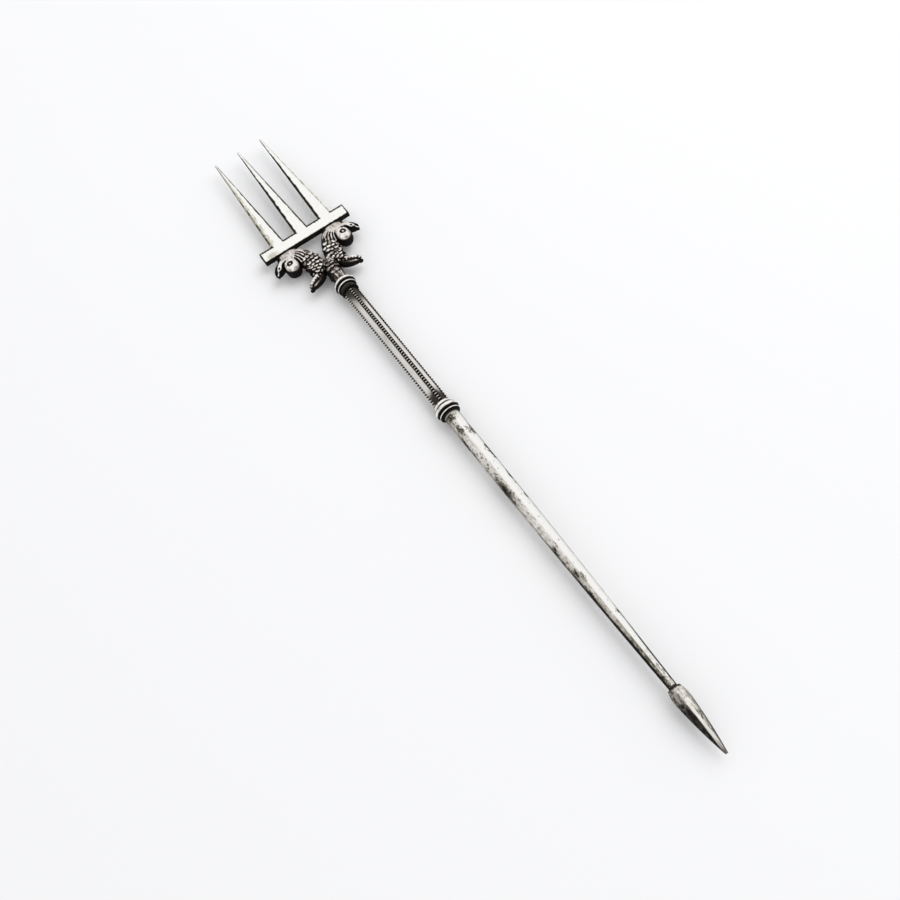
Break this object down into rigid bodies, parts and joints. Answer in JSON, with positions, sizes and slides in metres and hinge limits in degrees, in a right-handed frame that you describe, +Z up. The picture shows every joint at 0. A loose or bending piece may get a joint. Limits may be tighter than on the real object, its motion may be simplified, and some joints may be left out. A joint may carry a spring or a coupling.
{
  "type": "olive fork",
  "caption": "Slim silver serving fork with a flat trident head on cast dolphins, a collared square stem with ribbed edge wires, a tapered round shaft and a spear-shaped end.",
  "frame": {"origin": "under the middle of the fork's length, on the surface that its collar beads rest on", "axes": "+Y along the handle from the spear finial to the tine tips, +Z up out of the show face, +X to the right"},
  "size_m": [0.023, 0.178, 0.0053],
  "materials": {
    "bright_silver": "satin silver, lightly scratched",
    "oxidised_silver": "cast silver, black in the recesses and worn bright on the high spots",
    "collar_silver": "polished silver with black grooves",
    "milled_silver": "ribbed silver wire, black between the ribs",
    "aged_silver": "worn silver with patches of tarnish",
    "dull_silver": "dull tarnished silver"
  },
  "bodies": {
    "root": {"trident_plate": "bright_silver", "left_dolphin": "oxidised_silver", "right_dolphin": "oxidised_silver", "tail_stem": "oxidised_silver", "upper_collar_bead": "collar_silver", "upper_collar_ring": "collar_silver", "upper_collar_seat": "collar_silver", "stem_core": "aged_silver", "milled_wire_top": "milled_silver", "milled_wire_right": "milled_silver", "milled_wire_bottom": "milled_silver", "milled_wire_left": "milled_silver", "lower_collar_cap": "collar_silver", "lower_collar_bead": "collar_silver", "lower_collar_foot": "collar_silver", "shaft": "aged_silver", "spear_finial": "dull_silver"}
  },
  "joints": []
}
